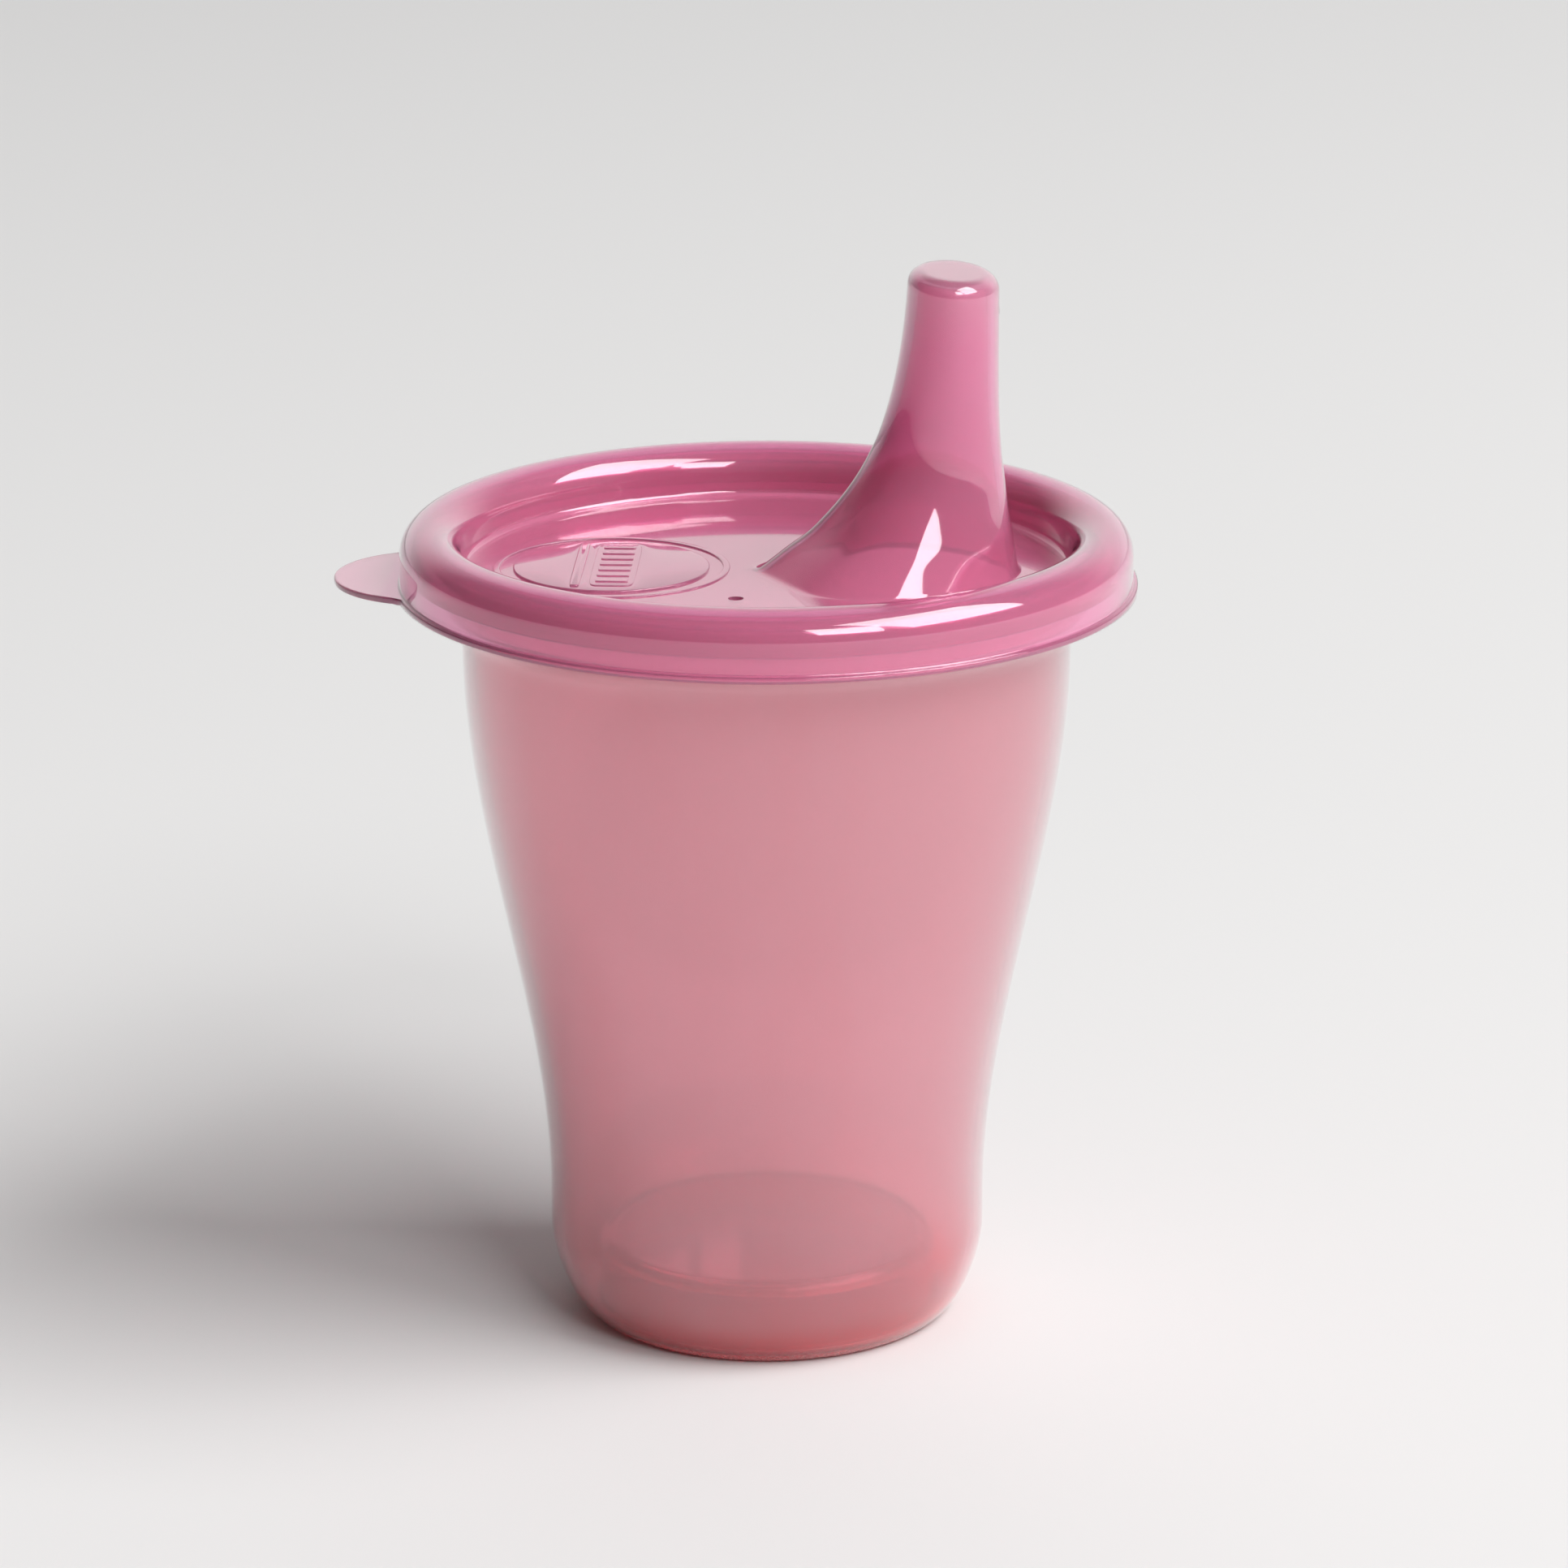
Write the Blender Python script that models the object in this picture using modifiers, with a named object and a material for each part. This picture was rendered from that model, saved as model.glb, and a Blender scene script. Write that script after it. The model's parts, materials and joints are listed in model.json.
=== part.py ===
"""Toddler's drinking cup with a press-on spout lid, in metres.

Two thin plastic mouldings: a bell-shaped tumbler, and a soft lid whose hollow rim, panel, spout and
pull tab are shot in one piece. +Z is up, the table is z = 0, the spout stands towards +X and the
tab points to -X.
"""

import math

import bmesh
import bpy
import numpy as np

MM = 0.001

# Sizes that set the whole object
CUP_HEIGHT = 90.35 * MM
FLANGE_RADIUS = 41.1 * MM
SPOUT_TOP = 120.0 * MM
FOOT_RADIUS = 19.9 * MM

# Tumbler
CUP_WALL = 1.2 * MM
WAIST_RADIUS = 24.6 * MM
SHOULDER_RADIUS = 33.8 * MM
CORNER_HEIGHT = 10.0 * MM
CORNER_FULLNESS = 1.6
BELL_START = 14.0 * MM
BELL_END_BELOW_RIM = 12.35 * MM
COVE_DEPTH = 4.2 * MM
LIP_REACH = 3.7 * MM
FOOT_RING_WIDTH = 1.2 * MM
FLOOR_HEIGHT = 8.9 * MM
FLOOR_DRAFT = 0.8 * MM

# Lid
LID_WALL = 1.0 * MM
FLANGE_THICKNESS = 0.7 * MM
FLANGE_STEP = 0.5 * MM
RIM_TUBE_RADIUS = 3.35 * MM
PANEL_BELOW_RIM = 5.55 * MM
SKIRT_BELOW_RIM = 7.25 * MM
PANEL_FILLET = 0.8 * MM
SEAT_GAP = 0.3 * MM
MEDAL_RADIUS = 10.8 * MM
MEDAL_RING_RADIUS = 13.1 * MM
MEDAL_RING_WIDTH = 0.7 * MM
MEDAL_HEIGHT = 0.3 * MM
MEDAL_AT = -17.2 * MM
VENT_RADIUS = 0.9 * MM
VENT_AT = (-2.8 * MM, -12.6 * MM)

# Spout: how far out its inner and outer faces stand at each share of its height above the panel
SPOUT_WALL = 1.1 * MM
SPOUT_INNER_FACE = (
    (0.0, -1.0), (0.027, 0.2), (0.068, 1.9), (0.124, 4.4), (0.198, 6.85), (0.286, 9.2),
    (0.404, 11.5), (0.552, 13.3), (0.73, 14.6), (0.906, 15.3), (1.0, 15.5),
)
SPOUT_OUTER_FACE = (
    (0.0, 28.0), (0.027, 27.75), (0.068, 27.55), (0.124, 27.3), (0.198, 26.8), (0.286, 26.4),
    (0.404, 25.9), (0.552, 25.6), (0.73, 25.5), (0.906, 25.5), (1.0, 25.5),
)
SPOUT_BASE_HALF_WIDTH = 13.3 * MM
SPOUT_TIP_HALF_WIDTH = 7.0 * MM
SPOUT_SIDE_SLOPE = 0.56
SPOUT_SIDE_BEND = 1.5 * MM
SPOUT_TIP_ROUNDING = 1.8 * MM
SPOUT_TIP_SLOPE = math.tan(math.radians(5))
DRINK_HOLE_RADIUS = 1.0 * MM
DRINK_HOLE_AT = (25.0 * MM, 0.0, 116.2 * MM)
DRINK_HOLE_LENGTH = 4.0 * MM
# One side of the spout's foot seen from above, from its round back to its blunt nose: shares of its
# half length and of its half width
SPOUT_FOOT_OUTLINE = (
    (1.0, 0.0), (0.95, 0.27), (0.8, 0.55), (0.55, 0.79), (0.3, 0.93), (0.08, 0.99), (-0.1, 1.0),
    (-0.31, 0.95), (-0.45, 0.87), (-0.56, 0.76), (-0.725, 0.5), (-0.9, 0.18), (-1.0, 0.0),
)

# Pull tab
TAB_ROUND_RADIUS = 10.7 * MM
TAB_REACH = 6.95 * MM
TAB_THICKNESS = 0.7 * MM
TAB_EDGE_BEVEL = 0.12 * MM
PIECE_GAP = 0.3 * MM

TURN_STEPS = 60
SPOUT_STEPS = 36

# Sizes that follow from the ones above
RIM_TUBE_CENTRE = FLANGE_RADIUS - FLANGE_STEP - RIM_TUBE_RADIUS
CHANNEL_RADIUS = RIM_TUBE_RADIUS - LID_WALL
LIP_RADIUS = CHANNEL_RADIUS - SEAT_GAP
LIP_CENTRE_Z = CUP_HEIGHT - LIP_RADIUS
RIM_TOP = LIP_CENTRE_Z + RIM_TUBE_RADIUS
PANEL_TOP = RIM_TOP - PANEL_BELOW_RIM
PANEL_BOTTOM = PANEL_TOP - LID_WALL
PANEL_RADIUS = RIM_TUBE_CENTRE - RIM_TUBE_RADIUS
FLANGE_BOTTOM = RIM_TOP - SKIRT_BELOW_RIM
FLANGE_TOP = FLANGE_BOTTOM + FLANGE_THICKNESS
BELL_END = CUP_HEIGHT - BELL_END_BELOW_RIM
COVE_TOP = PANEL_BOTTOM - SEAT_GAP
COVE_BOTTOM = COVE_TOP - COVE_DEPTH
MOUTH_RADIUS = RIM_TUBE_CENTRE - LIP_RADIUS
TAB_CENTRE = FLANGE_RADIUS + TAB_REACH - TAB_ROUND_RADIUS


def clear_scene():
    for obj in list(bpy.data.objects):
        bpy.data.objects.remove(obj, do_unlink=True)
    for collection in list(bpy.data.collections):
        bpy.data.collections.remove(collection)


def plastic(name, colour, roughness, alpha):
    material = bpy.data.materials.new(name)
    material.use_nodes = True
    shader = material.node_tree.nodes["Principled BSDF"]
    shader.inputs["Base Color"].default_value = (*colour, 1.0)
    shader.inputs["Roughness"].default_value = roughness
    shader.inputs["Metallic"].default_value = 0.0
    shader.inputs["Alpha"].default_value = alpha
    material.diffuse_color = (*colour, alpha)
    return material


def add_object(name, mesh, collection):
    obj = bpy.data.objects.new(name, mesh)
    collection.objects.link(obj)
    return obj


def add_cutter(name, mesh, collection):
    obj = add_object(name, mesh, collection)
    obj.hide_render = True
    obj.display_type = "WIRE"
    return obj


def turned(name, profile, collection):
    """A piece turned about Z from a closed profile of (radius, height) points."""
    mesh = bpy.data.meshes.new(name)
    edges = [(i, (i + 1) % len(profile)) for i in range(len(profile))]
    mesh.from_pydata([(radius, 0.0, height) for radius, height in profile], edges, [])
    obj = add_object(name, mesh, collection)
    screw = obj.modifiers.new("turn", "SCREW")
    screw.axis = "Z"
    screw.steps = TURN_STEPS
    screw.render_steps = TURN_STEPS
    screw.use_merge_vertices = True
    screw.merge_threshold = 0.00001
    return obj


def loft_mesh(name, rings):
    """A closed skin through rings of points, flat at both ends."""
    count = len(rings[0])
    points = [tuple(point) for ring in rings for point in ring]
    faces = [list(range(count))[::-1]]
    for row in range(len(rings) - 1):
        low = row * count
        for i in range(count):
            j = (i + 1) % count
            faces.append([low + i, low + j, low + count + j, low + count + i])
    faces.append(list(range((len(rings) - 1) * count, len(rings) * count)))
    mesh = bpy.data.meshes.new(name)
    mesh.from_pydata(points, [], faces)
    mesh.shade_smooth()
    return mesh


def cylinder_mesh(name, radius, bottom, top, centre, steps):
    mesh = bpy.data.meshes.new(name)
    shape = bmesh.new()
    bmesh.ops.create_cone(
        shape, cap_ends=True, segments=steps, radius1=radius, radius2=radius, depth=top - bottom
    )
    bmesh.ops.translate(shape, vec=(centre[0], centre[1], (top + bottom) / 2), verts=shape.verts)
    shape.to_mesh(mesh)
    shape.free()
    return mesh


def disc_cutter(name, radius, bottom, top, centre, steps, collection):
    return add_cutter(name, cylinder_mesh(name, radius, bottom, top, centre, steps), collection)


def combine(obj, other, operation):
    change = obj.modifiers.new(f"{operation.lower()} {other.name}", "BOOLEAN")
    change.operation = operation
    change.solver = "EXACT"
    change.object = other


def arc(centre, radius, start, end, count):
    """Points round an arc of the profile, at angles in degrees."""
    angles = np.radians(np.linspace(start, end, count))
    return [(centre[0] + radius * math.cos(a), centre[1] + radius * math.sin(a)) for a in angles]


def bell_radius(height):
    """Outer radius of the wall, eased from the waist out to the shoulder."""
    share = min(max((height - BELL_START) / (BELL_END - BELL_START), 0.0), 1.0)
    return WAIST_RADIUS + (SHOULDER_RADIUS - WAIST_RADIUS) * share * share * (3 - 2 * share)


def corner(low_radius, high_radius, low_height, high_height, count):
    """The rounded lower corner, from the wall down to the foot."""
    points = []
    for angle in np.linspace(math.pi / 2, 0, count):
        across = math.sin(angle) ** (2 / CORNER_FULLNESS)
        drop = max(math.cos(angle), 0.0) ** (2 / CORNER_FULLNESS)
        points.append(
            (
                low_radius + (high_radius - low_radius) * across,
                high_height - (high_height - low_height) * drop,
            )
        )
    return points


def build_cup(collection):
    lip_centre = (RIM_TUBE_CENTRE, LIP_CENTRE_Z)
    neck_radius = MOUTH_RADIUS + CUP_WALL
    bell_heights = np.linspace(COVE_BOTTOM - 1.5 * MM, CORNER_HEIGHT + 2 * MM, 9)
    ring_inside = FOOT_RADIUS - FOOT_RING_WIDTH
    floor_under = FLOOR_HEIGHT - CUP_WALL
    valley = (FOOT_RADIUS - FOOT_RING_WIDTH / 2, CUP_WALL)

    outside = arc(lip_centre, LIP_RADIUS, 180, 0, 7)
    outside += [(RIM_TUBE_CENTRE + LIP_RADIUS, CUP_HEIGHT - LIP_REACH)]
    outside += [(RIM_TUBE_CENTRE + LIP_RADIUS - CUP_WALL, CUP_HEIGHT - LIP_REACH)]
    outside += arc(lip_centre, LIP_RADIUS - CUP_WALL, 0, 180, 5)
    outside += [(neck_radius, COVE_TOP)]
    outside += [(neck_radius - 0.4 * MM, COVE_TOP - 1.3 * MM)]
    outside += [(SHOULDER_RADIUS + 0.5 * MM, COVE_BOTTOM + 0.9 * MM)]
    outside += [(SHOULDER_RADIUS, COVE_BOTTOM - 0.4 * MM)]
    outside += [(bell_radius(height), height) for height in bell_heights]
    outside += corner(FOOT_RADIUS, WAIST_RADIUS, 0.0, CORNER_HEIGHT, 7)
    outside += [(ring_inside, 0.0), (ring_inside - FLOOR_DRAFT, floor_under - 0.6 * MM)]
    outside += [(ring_inside - FLOOR_DRAFT - 0.6 * MM, floor_under), (0.0, floor_under)]

    inside = [(0.0, FLOOR_HEIGHT), (ring_inside - FLOOR_DRAFT + 0.3 * MM, FLOOR_HEIGHT)]
    inside += [(ring_inside - FLOOR_DRAFT + CUP_WALL, FLOOR_HEIGHT - 0.9 * MM)]
    inside += [(valley[0] - 0.25 * MM, valley[1] + 0.35 * MM), (valley[0] + 0.25 * MM, valley[1])]
    inside += corner(
        valley[0] + 0.7 * MM, WAIST_RADIUS - CUP_WALL, valley[1] + 0.2 * MM, CORNER_HEIGHT, 7
    )[::-1]
    inside += [(bell_radius(height) - CUP_WALL, height) for height in bell_heights[::-1]]
    inside += [(SHOULDER_RADIUS - CUP_WALL, COVE_BOTTOM)]
    inside += [(SHOULDER_RADIUS - CUP_WALL + 0.5 * MM, COVE_BOTTOM + 1.5 * MM)]
    inside += [(MOUTH_RADIUS - 0.4 * MM, COVE_TOP - 0.9 * MM), (MOUTH_RADIUS, COVE_TOP + 0.1 * MM)]
    return turned("cup", outside + inside, collection)


def lid_profile():
    tube_centre = (RIM_TUBE_CENTRE, LIP_CENTRE_Z)
    skirt_radius = RIM_TUBE_CENTRE + RIM_TUBE_RADIUS
    fillet_centre = (PANEL_RADIUS - PANEL_FILLET, PANEL_TOP + PANEL_FILLET)

    points = [(0.0, PANEL_BOTTOM), (0.0, PANEL_TOP)]
    points += arc(fillet_centre, PANEL_FILLET, 270, 360, 4)
    points += arc(tube_centre, RIM_TUBE_RADIUS, 180, 0, 13)
    points += [(skirt_radius + 0.05 * MM, FLANGE_TOP)]
    points += [(FLANGE_RADIUS, FLANGE_TOP), (FLANGE_RADIUS, FLANGE_BOTTOM)]
    points += [(RIM_TUBE_CENTRE + CHANNEL_RADIUS, FLANGE_BOTTOM)]
    points += arc(tube_centre, CHANNEL_RADIUS, 0, 180, 7)
    points += [(RIM_TUBE_CENTRE - CHANNEL_RADIUS, PANEL_BOTTOM)]
    return points


def foot_outline():
    """The foot's whole outline from its back round to its back, in even steps along its length."""
    half = np.array(SPOUT_FOOT_OUTLINE)
    loop = np.concatenate([half, (half * [1, -1])[::-1][1:]])
    walked = np.concatenate([[0], np.cumsum(np.hypot(*np.diff(loop, axis=0).T))])
    at = np.linspace(0, walked[-1], SPOUT_STEPS + 1)[:-1]
    return np.stack([np.interp(at, walked, loop[:, 0]), np.interp(at, walked, loop[:, 1])], axis=1)


def spout_side_flare(height):
    """How much wider than its tip the spout is on each side: a cone at the foot that bends upright."""
    cone_top = (SPOUT_BASE_HALF_WIDTH - SPOUT_TIP_HALF_WIDTH) / SPOUT_SIDE_SLOPE
    return SPOUT_SIDE_SLOPE * SPOUT_SIDE_BEND * math.log1p(math.exp((cone_top - height) / SPOUT_SIDE_BEND))


def spout_section(share, grow, lift):
    """One ring of the spout at a share of its height above the panel: oval above, pear-shaped below."""
    inner = np.interp(share, *np.transpose(SPOUT_INNER_FACE)) * MM
    outer = np.interp(share, *np.transpose(SPOUT_OUTER_FACE)) * MM
    base_half = (SPOUT_OUTER_FACE[0][1] - SPOUT_INNER_FACE[0][1]) / 2 * MM
    tip_half = (SPOUT_OUTER_FACE[-1][1] - SPOUT_INNER_FACE[-1][1]) / 2 * MM
    flare = ((outer - inner) / 2 - tip_half) / (base_half - tip_half)
    half_width = SPOUT_TIP_HALF_WIDTH + spout_side_flare(share * (SPOUT_TOP - PANEL_TOP))
    angles = np.linspace(0, 2 * math.pi, SPOUT_STEPS, endpoint=False)
    pear = min(flare * 1.6, 1.0)
    outline = np.stack([np.cos(angles), np.sin(angles)], axis=1) * (1 - pear) + foot_outline() * pear
    along = ((outer - inner) / 2 + grow) * outline[:, 0]
    across = (half_width + grow) * outline[:, 1]
    slope = SPOUT_TIP_SLOPE * min(max((share - 0.5) * 2, 0.0), 1.0)
    height = PANEL_TOP + share * (SPOUT_TOP - PANEL_TOP) + lift
    return np.stack([(inner + outer) / 2 + along, across, height - slope * along], axis=1)


def spout_skin(collection):
    shares = [0.027, 0.068, 0.124, 0.198, 0.286, 0.404, 0.55, 0.73]
    tip_share = 1 - SPOUT_TIP_ROUNDING / (SPOUT_TOP - PANEL_TOP)
    foot = spout_section(0.0, 0.0, 0.0)
    rings = [foot + [0, 0, -LID_WALL / 2], foot]
    rings += [spout_section(share, 0.0, 0.0) for share in shares + [tip_share]]
    for angle in np.radians((30, 60, 85)):
        grow = -SPOUT_TIP_ROUNDING * (1 - math.cos(angle))
        rings.append(spout_section(tip_share, grow, SPOUT_TIP_ROUNDING * math.sin(angle)))
    return add_cutter("spout_skin", loft_mesh("spout_skin", rings), collection)


def spout_passage(collection):
    """The hollow of the spout: its skin drawn in by one wall, and lowered by one wall."""
    shares = [0.045, 0.068, 0.124, 0.198, 0.286, 0.404, 0.55, 0.73]
    tip_share = 1 - SPOUT_TIP_ROUNDING / (SPOUT_TOP - PANEL_TOP)
    foot = spout_section(shares[0], -SPOUT_WALL, -SPOUT_WALL)
    mouth = foot.copy()
    mouth[:, 2] = PANEL_BOTTOM - LID_WALL
    rings = [mouth] + [
        spout_section(share, -SPOUT_WALL, -SPOUT_WALL) for share in shares + [tip_share]
    ]
    rings.append(spout_section(tip_share, -SPOUT_TIP_ROUNDING, SPOUT_TIP_ROUNDING - SPOUT_WALL))
    return add_cutter("spout_passage", loft_mesh("spout_passage", rings), collection)


def build_lid(collection, helpers):
    lid = turned("lid", lid_profile(), collection)
    combine(lid, spout_skin(helpers), "UNION")
    combine(lid, spout_passage(helpers), "DIFFERENCE")

    medal_middle = (MEDAL_AT, 0.0)
    ring_inside = MEDAL_RING_RADIUS - MEDAL_RING_WIDTH
    ring_top = PANEL_TOP + MEDAL_HEIGHT * 0.6
    sunk = PANEL_TOP - LID_WALL / 2
    medal_top = PANEL_TOP + MEDAL_HEIGHT
    medal = disc_cutter("medal", MEDAL_RADIUS, sunk, medal_top, medal_middle, 48, helpers)
    ring = disc_cutter("medal_ring", MEDAL_RING_RADIUS, sunk, ring_top, medal_middle, 48, helpers)
    moat = disc_cutter("medal_moat", ring_inside, PANEL_TOP, ring_top + MM, medal_middle, 48, helpers)
    combine(ring, moat, "DIFFERENCE")
    combine(lid, ring, "UNION")
    combine(lid, medal, "UNION")

    vent = disc_cutter("vent", VENT_RADIUS, PANEL_BOTTOM - MM, PANEL_TOP + MM, VENT_AT, 16, helpers)
    combine(lid, vent, "DIFFERENCE")
    reach = DRINK_HOLE_LENGTH / 2
    drink = disc_cutter("drink_hole", DRINK_HOLE_RADIUS, -reach, reach, (0.0, 0.0), 16, helpers)
    drink.rotation_euler = (0.0, math.pi / 2, 0.0)
    drink.location = DRINK_HOLE_AT
    combine(lid, drink, "DIFFERENCE")
    return lid


def build_tab(collection, helpers):
    tab_top = FLANGE_BOTTOM + TAB_THICKNESS
    middle = (-TAB_CENTRE, 0.0)
    mesh = cylinder_mesh("pull_tab", TAB_ROUND_RADIUS, FLANGE_BOTTOM, tab_top, middle, 48)
    tab = add_object("pull_tab", mesh, collection)
    bevel = tab.modifiers.new("soft edge", "BEVEL")
    bevel.width = TAB_EDGE_BEVEL
    bevel.segments = 1
    root = FLANGE_RADIUS + PIECE_GAP
    below, above = FLANGE_BOTTOM - MM, FLANGE_TOP + MM
    clear_of_lid = disc_cutter("clear_of_lid", root, below, above, (0.0, 0.0), TURN_STEPS, helpers)
    combine(tab, clear_of_lid, "DIFFERENCE")
    return tab


def put_origin(obj, place):
    """Moves an object's origin to the place it turns or seats about, and leaves its shape alone."""
    for vertex in obj.data.vertices:
        vertex.co.x -= place[0]
        vertex.co.y -= place[1]
        vertex.co.z -= place[2]
    obj.location = place


def main():
    clear_scene()
    parts = bpy.data.collections.new("sippy_cup")
    helpers = bpy.data.collections.new("cutters")
    bpy.context.scene.collection.children.link(parts)
    bpy.context.scene.collection.children.link(helpers)

    cup = build_cup(parts)
    lid = build_lid(parts, helpers)
    tab = build_tab(parts, helpers)
    put_origin(tab, (-(FLANGE_RADIUS + PIECE_GAP), 0.0, FLANGE_BOTTOM + TAB_THICKNESS / 2))

    cup.data.materials.append(plastic("cup_plastic", (0.60, 0.17, 0.22), 0.22, 0.72))
    lid.data.materials.append(plastic("lid_plastic", (0.58, 0.16, 0.27), 0.16, 0.88))
    tab.data.materials.append(plastic("tab_plastic", (0.60, 0.22, 0.28), 0.2, 0.8))


main()
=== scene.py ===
# %% [markdown]
# # A toddler's drinking cup with a press-on spout lid
# The real thing is two thin mouldings in one pink plastic. The cup is a bell-shaped tumbler. The
# lid snaps over its rim and carries, in one piece, a hollow rounded rim, a flat panel, a tall spout
# and a thin pull tab. This lesson builds both as exact surfaces worked out with numpy, then gives
# them a see-through pink plastic, and lights them like a small product picture.
#
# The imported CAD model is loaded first. It is the fixed frame: every height and radius below is
# taken from its boxes, so each new skin lies where the solid it stands for lies.

import json
import math

import bpy
import numpy as np
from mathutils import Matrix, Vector

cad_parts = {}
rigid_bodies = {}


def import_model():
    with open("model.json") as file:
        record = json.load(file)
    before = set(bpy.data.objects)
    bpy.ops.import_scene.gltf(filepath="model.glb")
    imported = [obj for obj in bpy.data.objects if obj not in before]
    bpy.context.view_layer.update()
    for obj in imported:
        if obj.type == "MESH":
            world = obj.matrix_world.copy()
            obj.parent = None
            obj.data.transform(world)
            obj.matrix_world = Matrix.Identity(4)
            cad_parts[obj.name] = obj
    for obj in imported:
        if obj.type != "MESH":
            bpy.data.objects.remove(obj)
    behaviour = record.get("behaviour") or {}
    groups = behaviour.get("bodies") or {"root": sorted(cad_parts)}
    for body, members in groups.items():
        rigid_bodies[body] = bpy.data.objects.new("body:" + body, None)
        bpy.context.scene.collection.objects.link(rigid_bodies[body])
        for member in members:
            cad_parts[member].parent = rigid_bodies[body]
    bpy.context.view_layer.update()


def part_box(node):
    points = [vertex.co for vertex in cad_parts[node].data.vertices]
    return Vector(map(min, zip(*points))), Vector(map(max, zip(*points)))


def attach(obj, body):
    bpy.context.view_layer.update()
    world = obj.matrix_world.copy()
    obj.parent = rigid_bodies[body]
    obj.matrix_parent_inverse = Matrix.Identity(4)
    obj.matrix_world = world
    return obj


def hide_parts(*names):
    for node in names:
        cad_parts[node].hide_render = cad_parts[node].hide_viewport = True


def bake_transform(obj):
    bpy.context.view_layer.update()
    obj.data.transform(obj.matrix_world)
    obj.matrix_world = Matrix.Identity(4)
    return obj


for left_over in list(bpy.data.objects):
    bpy.data.objects.remove(left_over)
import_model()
MM = 0.001
cup_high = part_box("cup")[1]
lid_low, lid_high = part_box("lid")
tab_low, tab_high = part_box("pull_tab")

# %% [markdown]
# ## Skins from rows of rings
# Both mouldings are closed skins. A skin like that can be cut into rings stacked one above the
# other, from one pole to the other, just as a jar is thrown on a wheel. Spin and Screw can do this
# for round pieces only. Here each ring is a row of an array, so a ring may be a circle, a pear
# shape or a circle with a tab on it, and one function turns any stack of them into a mesh.

# %% A closed skin from a stack of rings
COLUMNS = 256
TURN = np.linspace(0, 2 * math.pi, COLUMNS, endpoint=False)
ROUND = np.stack([np.cos(TURN), np.sin(TURN)], axis=1)


def ring_faces(rows, columns, loop=False):
    """Quads between neighbouring rings: corner (row, column), one column on, one row up, and back.

    In a loop the last row is joined to the first.
    """
    row, column = np.meshgrid(np.arange(rows - 1 + loop), np.arange(columns), indexing="ij")
    above = (row + 1) % rows
    onward = (column + 1) % columns
    corners = [row * columns + column, row * columns + onward]
    corners += [above * columns + onward, above * columns + column]
    return np.stack(corners, axis=-1).reshape(-1, 4)


def skin(name, rings):
    """A mesh through rings, an array (rows, columns, 3), with its first and last ring drawn to a pole.

    Each pole stands at the mean of its ring, and a fan of triangles joins them.
    """
    rows, columns = rings.shape[:2]
    points = np.concatenate([rings.reshape(-1, 3), rings[[0, -1]].mean(axis=1)])
    here = np.arange(columns)
    onward = (here + 1) % columns
    first_pole, last_pole = rows * columns, rows * columns + 1
    top = (rows - 1) * columns
    faces = ring_faces(rows, columns).tolist()
    faces += np.stack([onward, here, np.full(columns, first_pole)], axis=1).tolist()
    faces += np.stack([top + here, top + onward, np.full(columns, last_pole)], axis=1).tolist()
    mesh = bpy.data.meshes.new(name)
    mesh.from_pydata(points.tolist(), [], faces)
    mesh.shade_smooth()
    return mesh


def add_piece(name, mesh):
    piece = bpy.data.objects.new(name, mesh)
    bpy.context.scene.collection.objects.link(piece)
    print(name, len(mesh.vertices), "points,", len(mesh.polygons), "faces")
    return piece


def turned(profile, columns=COLUMNS):
    """Rings of a profile of (radius, height) points turned about Z: radius times (cos, sin), height."""
    turn = np.linspace(0, 2 * math.pi, columns, endpoint=False)
    across = profile[:, None, 0, None] * np.stack([np.cos(turn), np.sin(turn)], axis=1)
    height = np.broadcast_to(profile[:, None, 1, None], across.shape[:2] + (1,))
    return np.concatenate([across, height], axis=2)


def arc(centre, radius, start, end, count):
    """Profile points on a circle: centre plus radius times (cos, sin), from start to end degrees."""
    angle = np.radians(np.linspace(start, end, count))
    return np.stack([centre[0] + radius * np.cos(angle), centre[1] + radius * np.sin(angle)], axis=1)


def straight(start, end, count):
    """Points evenly spread on a line of a profile, without its two ends."""
    share = np.linspace(0, 1, count + 2)[1:-1, None]
    return np.asarray(start) * (1 - share) + np.asarray(end) * share


def eased(share):
    """Smooth step: 3 s squared minus 2 s cubed, with s held between 0 and 1."""
    share = np.clip(share, 0, 1)
    return share * share * (3 - 2 * share)


# %% [markdown]
# ## The tumbler
# The real tumbler is one injection moulding with a wall just over a millimetre thick. It rises
# from a rounded foot, opens like a bell, draws in under the lid in a shallow cove, and ends in a
# rolled rim that the lid snaps over. Its floor is raised inside the foot, so that it stands on a
# ring. Lathe work is the natural way to make it: one closed profile turned about the axis.
#
# The profile is first laid out as a polyline with sharp corners. A mould never has those, so the
# whole line is blurred along its own length, which rounds each corner by about a third of a
# millimetre and leaves the long curves alone. Mirroring it across the axis first keeps both poles
# in place. The points are then dealt out again, close together where the line bends.

# %% The tumbler's profile
CUP_WALL = 1.2 * MM
FOOT_RADIUS = 19.9 * MM
WAIST_RADIUS = 24.6 * MM
SHOULDER_RADIUS = 33.8 * MM
CORNER_HEIGHT = 10.0 * MM
CORNER_FULLNESS = 1.6
BELL_START, BELL_END = 14.0 * MM, 78.0 * MM
COVE_BOTTOM, COVE_TOP = 80.6 * MM, 84.8 * MM
FOOT_RING_WIDTH = 1.2 * MM
FLOOR_HEIGHT = 8.9 * MM
RIM_CENTRE = 37.25 * MM
LIP_RADIUS = 2.05 * MM


def bell_radius(height):
    """The wall's outer radius: from the waist to the shoulder along a smooth step of the height."""
    share = (height - BELL_START) / (BELL_END - BELL_START)
    return WAIST_RADIUS + (SHOULDER_RADIUS - WAIST_RADIUS) * eased(share)


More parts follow.
